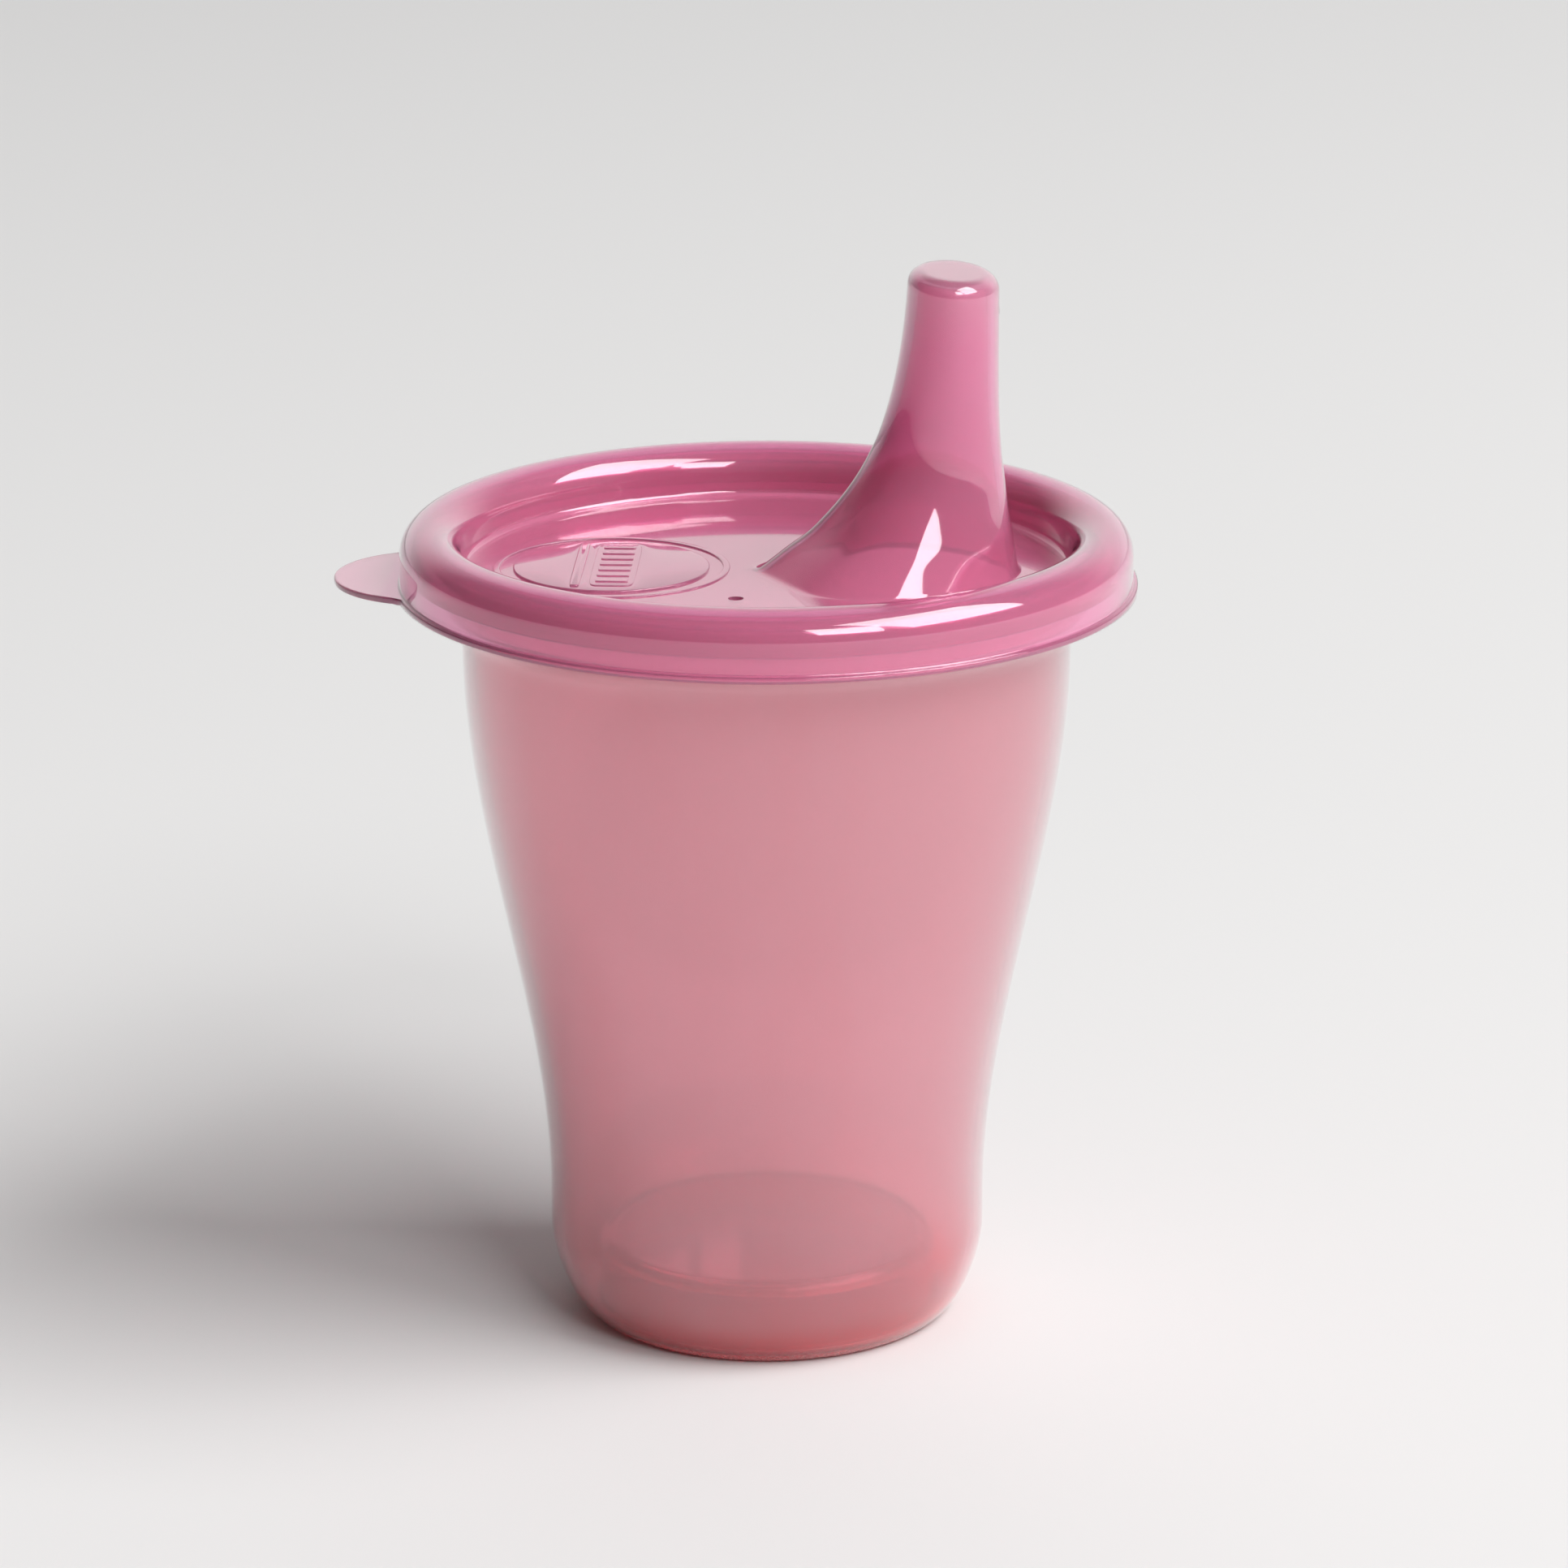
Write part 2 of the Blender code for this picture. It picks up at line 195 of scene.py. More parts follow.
def lower_corner(low_radius, high_radius, low_height, high_height):
    """A quarter superellipse from foot to wall: sin and cos to the power 2 / fullness."""
    angle = np.linspace(0, math.pi / 2, 60)
    across = np.sin(angle) ** (2 / CORNER_FULLNESS)
    drop = np.clip(np.cos(angle), 0, 1) ** (2 / CORNER_FULLNESS)
    radius = low_radius + (high_radius - low_radius) * across
    return np.stack([radius, high_height - (high_height - low_height) * drop], axis=1)


def wall(inset):
    """The bell wall as (radius, height) points going up, drawn in by inset."""
    height = np.linspace(CORNER_HEIGHT, COVE_BOTTOM - 0.4 * MM, 90)[1:]
    return np.stack([bell_radius(height) - inset, height], axis=1)


def cup_outline():
    """The tumbler's section as one polyline, from the middle underneath to the middle of the floor."""
    rim = (RIM_CENTRE, cup_high.z - LIP_RADIUS)
    ring_inside = FOOT_RADIUS - FOOT_RING_WIDTH
    under = FLOOR_HEIGHT - CUP_WALL
    neck, mouth = RIM_CENTRE - LIP_RADIUS + CUP_WALL, RIM_CENTRE - LIP_RADIUS
    valley = FOOT_RADIUS - FOOT_RING_WIDTH / 2
    parts = [[(0, under), (ring_inside - 1.4 * MM, under), (ring_inside - 0.8 * MM, under - 0.6 * MM)]]
    parts += [[(ring_inside, 0)], lower_corner(FOOT_RADIUS, WAIST_RADIUS, 0, CORNER_HEIGHT), wall(0)]
    parts += [[(SHOULDER_RADIUS + 0.5 * MM, COVE_BOTTOM + 0.9 * MM)]]
    parts += [[(neck - 0.4 * MM, COVE_TOP - 1.3 * MM), (neck, COVE_TOP)]]
    parts += [arc(rim, LIP_RADIUS - CUP_WALL, 180, 0, 24)]
    parts += [[(RIM_CENTRE + LIP_RADIUS - CUP_WALL, cup_high.z - 3.7 * MM)]]
    parts += [[(RIM_CENTRE + LIP_RADIUS, cup_high.z - 3.7 * MM)], arc(rim, LIP_RADIUS, 0, 180, 40)]
    parts += [[(mouth, COVE_TOP + 0.1 * MM), (mouth - 0.4 * MM, COVE_TOP - 0.9 * MM)]]
    parts += [[(SHOULDER_RADIUS - CUP_WALL + 0.5 * MM, COVE_BOTTOM + 1.5 * MM)], wall(CUP_WALL)[::-1]]
    inner = lower_corner(valley + 0.7 * MM, WAIST_RADIUS - CUP_WALL, CUP_WALL + 0.2 * MM, CORNER_HEIGHT)
    parts += [inner[::-1], [(valley + 0.25 * MM, CUP_WALL), (valley - 0.25 * MM, CUP_WALL + 0.35 * MM)]]
    parts += [[(ring_inside - 0.8 * MM + CUP_WALL, FLOOR_HEIGHT - 0.9 * MM)]]
    parts += [[(ring_inside - 0.5 * MM, FLOOR_HEIGHT), (0, FLOOR_HEIGHT)]]
    return np.concatenate([np.asarray(part, float) for part in parts])


def along(line):
    """The distance of each point of a line from its start, measured along it."""
    return np.concatenate([[0], np.cumsum(np.hypot(*np.diff(line, axis=0).T))])


def softened(line, softness, count):
    """A line blurred along its length by a Gaussian, then dealt out as count points by its bending.

    The line and its mirror image across the axis make one loop, so the blur is a product of
    Fourier series. A point's share of the count is its length plus a part for its turn.
    """
    length = along(line)[-1]
    even = np.linspace(0, length, 6000)
    track = np.stack([np.interp(even, along(line), line[:, i]) for i in range(2)], axis=1)
    loop = np.concatenate([track, (track * [-1, 1])[::-1]])
    step = length / len(even)
    wave = np.fft.rfftfreq(len(loop), step)
    blur = np.exp(-2 * (math.pi * wave * softness) ** 2)[:, None]
    track = np.fft.irfft(np.fft.rfft(loop, axis=0) * blur, len(loop), axis=0)[: len(track)]
    heading = np.unwrap(np.arctan2(*np.gradient(track, axis=0).T[::-1]))
    weight = np.abs(np.gradient(along(track))) + 1.1 * MM * np.abs(np.gradient(heading))
    dealt = np.cumsum(weight) - weight[0]
    share = np.linspace(0, dealt[-1], count)
    return np.stack([np.interp(share, dealt, track[:, i]) for i in range(2)], axis=1)


cup_profile = softened(cup_outline(), 0.22 * MM, 330)
cup_profile[:, 1] = np.clip(cup_profile[:, 1], 0, None)
cup_piece = add_piece("tumbler", skin("tumbler", turned(cup_profile[1:-1])))
print("tumbler mouth radius", round(cup_profile[:, 0].max() / MM, 2), "mm")

# %% [markdown]
# ## The lid's outer face
# The lid is one soft moulding about a millimetre thick. From its edge inwards it is a thin flange
# with a pull tab, an upright skirt, a fat rounded rim, a sunk panel, and the spout, which flares
# where it leaves the panel. All of that is one continuous face, so it is one stack of rings: round
# ones over the flange and the rim, and then rings that change bit by bit from the panel's circle
# into the spout's foot. A Boolean union of a turned disc and a lofted spout gives the same shape
# but leaves a seam in the gloss, where the real surface flows.

# %% The flange, the tab, the skirt and the rim
LID_WALL = 1.0 * MM
RIM_TUBE = 3.35 * MM
FLANGE_THICKNESS = 0.7 * MM
FLANGE_RADIUS = lid_high.x
FLANGE_TOP = lid_low.z + FLANGE_THICKNESS
TUBE_CENTRE_Z = cup_high.z - LIP_RADIUS
PANEL_TOP = TUBE_CENTRE_Z + RIM_TUBE - 5.55 * MM
PANEL_FILLET = 0.8 * MM
SKIRT_RADIUS = RIM_CENTRE + RIM_TUBE
TAB_ROUND = 10.7 * MM
TAB_CENTRE = -tab_low.x - TAB_ROUND
TAB_BLEND = 0.5 * MM


def edge_radius():
    """How far the flange's edge stands out at each column: the larger of its own circle and the tab's.

    The tab's circle seen from the axis is c cos a + sqrt(r r - c c sin a sin a), a being the angle
    from -X. The larger of two is taken smoothly, as half of a + b + sqrt((a - b) squared + k k).
    """
    angle = TURN - math.pi
    inside = np.clip(TAB_ROUND**2 - (TAB_CENTRE * np.sin(angle)) ** 2, 0, None)
    tab = TAB_CENTRE * np.cos(angle) + np.sqrt(inside)
    return (tab + FLANGE_RADIUS + np.sqrt((tab - FLANGE_RADIUS) ** 2 + TAB_BLEND**2)) / 2


def flange_rings(reach, height):
    """Rings between the skirt and the flange's edge: a share of the way out, at a height for each."""
    radius = SKIRT_RADIUS + np.asarray(reach)[:, None] * (edge_radius() - SKIRT_RADIUS)
    rings = np.empty((len(reach), COLUMNS, 3))
    rings[..., :2] = radius[..., None] * ROUND
    rings[..., 2] = np.asarray(height)[:, None]
    return rings


def edge_rings(rounding):
    """The flange's rounded edge, from underneath to the top: half a turn of a small circle."""
    angle = np.radians(np.linspace(-90, 90, 11))[:, None, None]
    radius = edge_radius()[None, :, None] - rounding * (1 - np.cos(angle))
    height = (FLANGE_TOP + lid_low.z) / 2 + np.sign(np.sin(angle)) * (FLANGE_THICKNESS / 2 - rounding)
    height = height + rounding * np.sin(angle)
    return np.concatenate([radius * ROUND, np.broadcast_to(height, radius.shape)], axis=2)


EDGE_ROUNDING = 0.2 * MM
rim_centre = (RIM_CENTRE, TUBE_CENTRE_Z)
skirt_foot = (SKIRT_RADIUS + 0.25 * MM, FLANGE_TOP + 0.25 * MM)
fillet_centre = (RIM_CENTRE - RIM_TUBE - PANEL_FILLET, PANEL_TOP + PANEL_FILLET)
rim_profile = np.concatenate(
    [
        arc(skirt_foot, 0.25 * MM, 270, 180, 6),
        straight((SKIRT_RADIUS, skirt_foot[1]), (SKIRT_RADIUS, TUBE_CENTRE_Z), 5),
        arc(rim_centre, RIM_TUBE, 0, 180, 50),
        straight((RIM_CENTRE - RIM_TUBE, TUBE_CENTRE_Z), (RIM_CENTRE - RIM_TUBE, fillet_centre[1]), 2),
        arc(fillet_centre, PANEL_FILLET, 0, -90, 9),
    ]
)
print("rim top", round(rim_profile[:, 1].max() / MM, 2), "panel", round(PANEL_TOP / MM, 2), "mm")

# %% [markdown]
# ## The spout
# The spout is a tall hollow tube that leans outwards: oval at the tip, where a child's lips close
# on it, and spread into a pear-shaped foot with a blunt nose towards the middle of the lid. Each
# height has its own ring. The foot's outline is a short list of corners, smoothed the same way as
# the tumbler's section. The tip's is an ellipse. A ring in between is a mix of the two, stretched
# to the length that the spout's side view has at that height.

# %% The spout's rings
SPOUT_INNER = np.array(
    [(0, -1.0), (0.027, 0.2), (0.068, 1.9), (0.124, 4.4), (0.198, 6.85), (0.286, 9.2)]
    + [(0.404, 11.5), (0.552, 13.3), (0.73, 14.6), (0.906, 15.3), (1, 15.5)]
)
SPOUT_OUTER = np.array(
    [(0, 28.0), (0.027, 27.75), (0.068, 27.55), (0.124, 27.3), (0.198, 26.8), (0.286, 26.4)]
    + [(0.404, 25.9), (0.552, 25.6), (0.73, 25.5), (0.906, 25.5), (1, 25.5)]
)
SPOUT_TOP = 120.0 * MM
FOOT_HALF_WIDTH, TIP_HALF_WIDTH = 13.3 * MM, 7.0 * MM
SIDE_SLOPE, SIDE_BEND = 0.56, 1.5 * MM
SIDE_FLARE_HEIGHT = (FOOT_HALF_WIDTH - TIP_HALF_WIDTH) / SIDE_SLOPE
OVAL_HALF_LENGTH, PEAR_GROWTH, PEAR_QUICKNESS = 5 * MM, 9.5 * MM, 1.6
FOOT_SOFTNESS = 0.1
TIP_ROUNDING = 1.8 * MM
TIP_SLOPE = math.tan(math.radians(5))
FOOT_NOSE = [(-1, 0), (-0.89, 0.173), (-0.725, 0.5), (-0.56, 0.79), (-0.435, 0.9), (-0.31, 0.958)]
FOOT_BACK = [(-0.1, 1), (0.08, 0.99), (0.3, 0.93), (0.55, 0.8), (0.8, 0.55), (0.95, 0.26), (1, 0)]


def foot_outline():
    """The foot's outline as (cos-like, sin-like) columns: its corners blurred, then dealt out evenly.

    The blur is a Gaussian in the Fourier series of the loop, and columns go by distance along it.
    """
    half = np.array(FOOT_BACK[::-1] + FOOT_NOSE[::-1])
    loop = np.concatenate([half, (half * [1, -1])[::-1][1:]])
    even = np.linspace(0, along(loop)[-1], 2049)[:-1]
    track = np.stack([np.interp(even, along(loop), loop[:, i]) for i in range(2)], axis=1)
    wave = np.fft.rfftfreq(len(track), even[1])
    blur = np.exp(-2 * (math.pi * wave * FOOT_SOFTNESS) ** 2)[:, None]
    track = np.fft.irfft(np.fft.rfft(track, axis=0) * blur, len(track), axis=0)
    track = (track - [(track[:, 0].max() + track[:, 0].min()) / 2, 0]) / (np.ptp(track, axis=0) / 2)
    round_trip = along(np.concatenate([track, track[:1]]))
    at = np.linspace(0, round_trip[-1], COLUMNS + 1)[:-1]
    closed = np.concatenate([track, track[:1]])
    return np.stack([np.interp(at, round_trip, closed[:, i]) for i in range(2)], axis=1)


def gentle(share, table):
    """A table of (share, millimetres) read along a smooth curve through its points.

    Between two points the curve is the cubic that has, at each, the slope of its neighbours' chord.
    """
    at, value = table.T
    slope = np.gradient(value, at)
    i = np.clip(np.searchsorted(at, share, side="right") - 1, 0, len(at) - 2)
    width = at[i + 1] - at[i]
    t = (share - at[i]) / width
    start = (1 + 2 * t) * (1 - t) ** 2 * value[i] + t * (1 - t) ** 2 * width * slope[i]
    end = t * t * (3 - 2 * t) * value[i + 1] + t * t * (t - 1) * width * slope[i + 1]
    return (start + end) * MM


def spout_rings(share, grow, lift):
    """Rings of the spout at shares of its height above the panel, grown sideways and lifted.

    Ring = middle + (half length + grow) x outline's x, (half width + grow) x outline's y, and the
    upper half leans so that the tip slopes down outwards. The half width is the tip's, plus a slope
    times the log of 1 + exp of the depth below the flare's top: straight, a soft bend, then a cone.
    """
    share, grow, lift = (np.asarray(v, float)[:, None] for v in (share, grow, lift))
    inner, outer = gentle(share, SPOUT_INNER), gentle(share, SPOUT_OUTER)
    half = (outer - inner) / 2
    flare = np.clip((half - OVAL_HALF_LENGTH) / PEAR_GROWTH, 0, 1)
    below = SIDE_FLARE_HEIGHT - share * (SPOUT_TOP - PANEL_TOP)
    width = TIP_HALF_WIDTH + SIDE_SLOPE * SIDE_BEND * np.logaddexp(0, below / SIDE_BEND)
    pear = eased(flare * PEAR_QUICKNESS)[..., None]
    outline = ROUND * (1 - pear) + foot_outline() * pear
    forward = (half + grow) * outline[..., 0]
    sideways = (width + grow) * outline[..., 1]
    leaning = TIP_SLOPE * np.clip(share * 2 - 1, 0, 1)
    height = PANEL_TOP + share * (SPOUT_TOP - PANEL_TOP) + lift
    return np.stack([(inner + outer) / 2 + forward, sideways, height - leaning * forward], axis=2)


TIP_SHARE = 1 - TIP_ROUNDING / (SPOUT_TOP - PANEL_TOP)
rise = np.concatenate([[0, 0.003, 0.007], np.linspace(0.012, TIP_SHARE, 53)])
wall_rings = spout_rings(rise, 0 * rise, 0 * rise)
bend = np.radians(np.linspace(0, 90, 11))[1:]
tip_rings = spout_rings(
    np.full(10, TIP_SHARE), -TIP_ROUNDING * (1 - np.cos(bend)), TIP_ROUNDING * np.sin(bend)
)
shrink = np.linspace(1, 0, 8)[1:-1, None, None]
tip_middle = tip_rings[-1].mean(axis=0)
cap_rings = tip_middle + (tip_rings[-1] - tip_middle) * shrink
print("spout tip", np.round((tip_rings[-1].max(axis=0) - tip_rings[-1].min(axis=0)) / MM, 2), "mm")

# %% [markdown]
# ## From face to wall
# A moulding has the same wall nearly everywhere, so its inner face is its outer face moved inwards
# along its own normals. Solidify does that too, but here the two faces meet in a thin flange at
# one end only, and the flange has its own thickness. So the normals are worked out from the rings:
# the cross product of the step to the next column and the step to the next ring.

# %% The lid as one closed skin
panel_share = eased(np.linspace(0, 1, 18))[1:-1, None, None]
panel_edge = turned(rim_profile[-1:])[0]
panel_rings = panel_edge * (1 - panel_share) + wall_rings[0] * panel_share
outer = np.concatenate([turned(rim_profile), panel_rings, wall_rings, tip_rings, cap_rings])


def smoothed(rings, first, last, times):
    """Rings whose rows from first to last are drawn to the mean of their neighbours, over and over."""
    rings = rings.copy()
    for _ in range(times):
        middle = (rings[first - 1 : last - 1] + 2 * rings[first:last] + rings[first + 1 : last + 1]) / 4
        rings[first:last] = middle
    return rings


def ring_normals(rings):
    """Unit normals of a stack of rings: step along a ring crossed with step up the stack."""
    around = np.roll(rings, -1, axis=1) - np.roll(rings, 1, axis=1)
    upward = np.gradient(rings, axis=0)
    normal = np.cross(around, upward)
    return normal / np.linalg.norm(normal, axis=2, keepdims=True)


foot_row = len(rim_profile) + len(panel_rings)
outer = smoothed(outer, foot_row - 3, foot_row + 5, 3)
skirt_rows = 8
inner = (outer - LID_WALL * ring_normals(outer))[skirt_rows:]
channel_radius = SKIRT_RADIUS - LID_WALL
channel_foot = straight(
    (channel_radius, inner[0, 0, 2]), (channel_radius, lid_low.z + EDGE_ROUNDING), 5
)
edge_centre = (channel_radius + EDGE_ROUNDING, lid_low.z + EDGE_ROUNDING)
channel_edge = arc(edge_centre, EDGE_ROUNDING, 180, 270, 5)
flange_reach = np.array([0.06, 0.2, 0.36, 0.52, 0.68, 0.82, 0.93])
under_rings = flange_rings(flange_reach, np.full(7, lid_low.z))
over_rings = flange_rings(flange_reach[::-1], np.full(7, FLANGE_TOP))
lid_rings = np.concatenate(
    [
        inner[::-1],
        turned(np.concatenate([channel_foot, channel_edge])),
        under_rings,
        edge_rings(EDGE_ROUNDING),
        over_rings,
        outer,
    ]
)
lid_piece = add_piece("spout_lid", skin("spout_lid", lid_rings))
print(len(lid_rings), "rings of", COLUMNS)

# %% [markdown]
# ## Relief on the panel, and the two holes
# The panel carries a low round medallion inside a fine raised ring. The mark that such a medallion
# frames belongs to a maker, so here it is a plain strip beside a row of plain ribs. A small hole in
# the panel lets air in as the child drinks, and another near the spout's tip lets the drink out.
# Displacing the panel's own points would need far more of them to keep these edges crisp. Small
# closed pads that sink into the panel are joined to it by a Boolean instead, and two pins cut the
# holes. Both Booleans take a whole collection, so the big skin is worked through only twice.

# %% Pads, ribs and pins
MEDAL_X = -17.2 * MM
MEDAL_RADIUS, MEDAL_HEIGHT = 10.9 * MM, 0.26 * MM
RING_RADIUS, RING_HALF_WIDTH, RING_HEIGHT = 12.75 * MM, 0.4 * MM, 0.16 * MM
SUNK = 0.5 * MM
VENT_PLACE, VENT_RADIUS = (-2.8 * MM, -12.6 * MM, PANEL_TOP), 0.85 * MM
DRINK_PLACE, DRINK_RADIUS = (25.0 * MM, 0.0, 116.2 * MM), 1.0 * MM
relief = bpy.data.collections.new("relief on the panel")
pins = bpy.data.collections.new("pins for the holes")


def helper(name, mesh, collection):
    collection.objects.link(bpy.data.objects.new(name, mesh))


def rounded_top(height, rounding):
    """(inset, level) of a pad's edge: straight up from below the panel, then a quarter turn inwards."""
    edge = arc((rounding, height - rounding), rounding, 180, 90, 7)
    return np.concatenate([[(0, -SUNK), (0, 0)], edge])


def pad(name, half_size, height, place, squareness=2, columns=64):
    """A low closed pad with a rounded edge, put at a place.

    A ring is (half size - inset) times (cos, sin) to the power 2 / squareness: a squareness of 2
    gives an ellipse, and 8 gives an oblong with small round corners.
    """
    turn = np.linspace(0, 2 * math.pi, columns, endpoint=False)
    circle = np.stack([np.cos(turn), np.sin(turn)], axis=1)
    outline = np.sign(circle) * np.abs(circle) ** (2 / squareness)
    inset, level = rounded_top(height, min(0.15 * MM, 0.7 * height)).T
    rings = np.empty((len(level), columns, 3))
    rings[..., :2] = outline * (np.asarray(half_size) - inset[:, None, None])
    rings[..., 2] = level[:, None]
    helper(name, skin(name, rings + np.asarray(place)), relief)


def hoop(name, radius, half_width, height, place, columns=192):
    """A low ring: the pad's edge on both sides of a circle, carried round it and closed."""
    side = rounded_top(height, 0.7 * height)
    outside = np.stack([radius + half_width - side[:, 0], side[:, 1]], axis=1)
    inside = np.stack([radius - half_width + side[:, 0], side[:, 1]], axis=1)
    rings = turned(np.concatenate([outside, inside[::-1]]), columns) + np.asarray(place)
    mesh = bpy.data.meshes.new(name)
    faces = ring_faces(*rings.shape[:2], loop=True)
    mesh.from_pydata(rings.reshape(-1, 3).tolist(), [], faces.tolist())
    mesh.shade_smooth()
    helper(name, mesh, relief)


def pin(name, radius, half_length, place, turned_to_x=False):
    """A round pin: two rings at minus and plus its half length, upright or lying along X."""
    rings = turned(np.array([(radius, -half_length), (radius, half_length)]), 64)
    rings = rings[..., [2, 0, 1]] if turned_to_x else rings
    helper(name, skin(name, rings + np.asarray(place)), pins)


medal_top = PANEL_TOP + MEDAL_HEIGHT
pad("medallion", (MEDAL_RADIUS, MEDAL_RADIUS), MEDAL_HEIGHT, (MEDAL_X, 0, PANEL_TOP), columns=160)
hoop("medallion_ring", RING_RADIUS, RING_HALF_WIDTH, RING_HEIGHT, (MEDAL_X, 0, PANEL_TOP))
pad("strip", (0.6 * MM, 9.3 * MM), 0.2 * MM, (MEDAL_X - 3.5 * MM, 0, medal_top), squareness=8)
pad("plate", (2.5 * MM, 9.0 * MM), 0.1 * MM, (MEDAL_X + 0.5 * MM, 0, medal_top), squareness=8)
for rib_number, rib_y in enumerate(np.linspace(-7.2, 7.2, 7) * MM):
    rib_place = (MEDAL_X + 0.5 * MM, rib_y, medal_top + 0.1 * MM)
    pad(f"rib_{rib_number}", (1.8 * MM, 0.4 * MM), 0.12 * MM, rib_place, squareness=6)
pin("vent_pin", VENT_RADIUS, 2.5 * MM, VENT_PLACE)
pin("drink_pin", DRINK_RADIUS, 2 * MM, DRINK_PLACE, turned_to_x=True)

# %% [markdown]
# ## Joining the relief to the lid
# On the real lid the medallion and the panel are one melt, so no seam may show where a pad meets the
# panel. A union takes every pad at once and leaves one closed skin, and a difference then cuts the
# holes. Edges sharper than a set angle are kept crisp, and all the others stay smooth.

# %% Join the pads and cut the holes
CREASE = math.radians(38)


def boolean(piece, operation, collection):
    change = piece.modifiers.new(collection.name, "BOOLEAN")
    change.operation = operation
    change.solver = "EXACT"
    change.operand_type = "COLLECTION"
    change.collection = collection


def settle(piece):
    """Makes the modifiers' result the piece's own mesh, with its creases kept sharp."""
    evaluated = piece.evaluated_get(bpy.context.evaluated_depsgraph_get())
    piece.data = bpy.data.meshes.new_from_object(evaluated)
    piece.modifiers.clear()
    piece.data.set_sharp_from_angle(angle=CREASE)
    triangles = sum(len(face.vertices) - 2 for face in piece.data.polygons)
    print(piece.name, triangles, "triangles")


boolean(lid_piece, "UNION", relief)
boolean(lid_piece, "DIFFERENCE", pins)
settle(lid_piece)
for spent in [*relief.objects, *pins.objects]:
    bpy.data.objects.remove(spent)
cup_piece.data.set_sharp_from_angle(angle=CREASE)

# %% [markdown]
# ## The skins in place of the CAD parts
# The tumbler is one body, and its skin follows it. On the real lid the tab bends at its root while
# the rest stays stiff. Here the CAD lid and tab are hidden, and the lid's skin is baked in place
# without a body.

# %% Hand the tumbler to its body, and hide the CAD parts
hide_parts("cup")
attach(cup_piece, "cup")
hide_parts("lid", "pull_tab")
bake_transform(lid_piece)

# %% [markdown]
# ## Writing materials as sums
# A material is a net of nodes, and a net of Math nodes is hard to read. Here a wire out of a node can
# be added, multiplied and raised like a number, and each step puts in the Math node that it needs.
# Everything else goes through one method, node, which takes the node's type, its settings and its
# sockets. Colours are mixed with Mix nodes, because a Math node would turn them grey.

# %% A wire that does sums, and a net that makes nodes
class Wire:
    """One output socket. Sums with wires or numbers add a Math node each."""

    def __init__(self, net, socket):
        self.net = net
        self.socket = socket

    def math(self, operation, *values):
        return self.net.node("ShaderNodeMath", {"operation": operation}, dict(enumerate(values)))

    def __add__(self, other):
        return self.math("ADD", self, other)

    def __sub__(self, other):
        return self.math("SUBTRACT", self, other)

    def __mul__(self, other):
        return self.math("MULTIPLY", self, other)

    __radd__ = __add__

    def between(self, low, high):
        """0 below low, 1 above high, and a smooth rise in between; low may be the larger one."""
        sockets = {"Value": self, "From Min": low, "From Max": high}
        return self.net.node("ShaderNodeMapRange", {"interpolation_type": "SMOOTHSTEP"}, sockets)


class Net:
    """A node tree that node() adds to."""

    def __init__(self, tree):
        self.tree = tree
        tree.nodes.clear()

    def node(self, kind, settings=None, sockets=None, out=0):
        """Adds a node, sets its settings and then its sockets, and gives one of its outputs."""
        made = self.tree.nodes.new(kind)
        for name, value in (settings or {}).items():
            setattr(made, name, value)
        for name, value in (sockets or {}).items():
            if isinstance(value, Wire):
                self.tree.links.new(value.socket, made.inputs[name])
            else:
                made.inputs[name].default_value = value
        return Wire(self, made.outputs[out]) if made.outputs else None

    def mixed(self, share, first, second):
        """Colours mixed: share 0 is the first and 1 is the second."""
        colours = [value if isinstance(value, Wire) else (*value, 1) for value in (first, second)]
        sockets = {0: share, 6: colours[0], 7: colours[1]}
        return self.node("ShaderNodeMix", {"data_type": "RGBA"}, sockets, out=2)

    def noise(self, place, stretch, detail=2, roughness=0.5):
        """Cloudy noise from 0 to 1. stretch is how many features lie in a metre, along each axis."""
        scaled = self.node("ShaderNodeVectorMath", {"operation": "MULTIPLY"}, {0: place, 1: stretch})
        sockets = {"Vector": scaled, "Scale": 1.0, "Detail": detail, "Roughness": roughness}
        return self.node("ShaderNodeTexNoise", sockets=sockets)

    def place(self):
        """The object's own coordinates, in metres."""
        return self.node("ShaderNodeTexCoord", out="Object")

    def axis(self, vector, name):
        """One part of a vector, by its name: X, Y or Z."""
        return self.node("ShaderNodeSeparateXYZ", sockets={0: vector}, out=name)


print("Wire and Net are ready")

# %% [markdown]
# ## What the plastic looks like
# Polypropylene is nearly clear, and the pigment in it takes out green and blue. Light that goes
# straight through comes out pink, light that is scattered inside gives a milky body, and the moulded
# skin adds a sharp gloss. So each plastic is one Principled shader: most of it transmits, the rest is
# diffuse, and a coat carries the gloss. The number that says how much light passes is the same all
# over. What varies is mostly what a mould and a few months of use leave: clouds and weld lines from
# the flow of the melt, faint lines along the pull of the mould, hairline scratches, and small pits.
# The tumbler also has painted shade, a deeper red towards its foot.

# %% Marks that both plastics share
def flow_marks(net, place, stretch):
    """Clouds of the melt: broad noise drawn out along the way it flowed, between 0 and 1."""
    return net.noise(place, stretch, detail=3)


def hairlines(net, place, across, along, amount):
    """Scratches: the narrow middle band of a noise that is fine across and long along, 1 on a line."""
    grain = net.noise(place, across, detail=1)
    off_middle = grain.math("ABSOLUTE", grain - 0.5)
    line = off_middle.between(0.012, 0.0)
    where = net.noise(place, along, detail=1).between(0.62 - amount, 0.66)
    return line * where


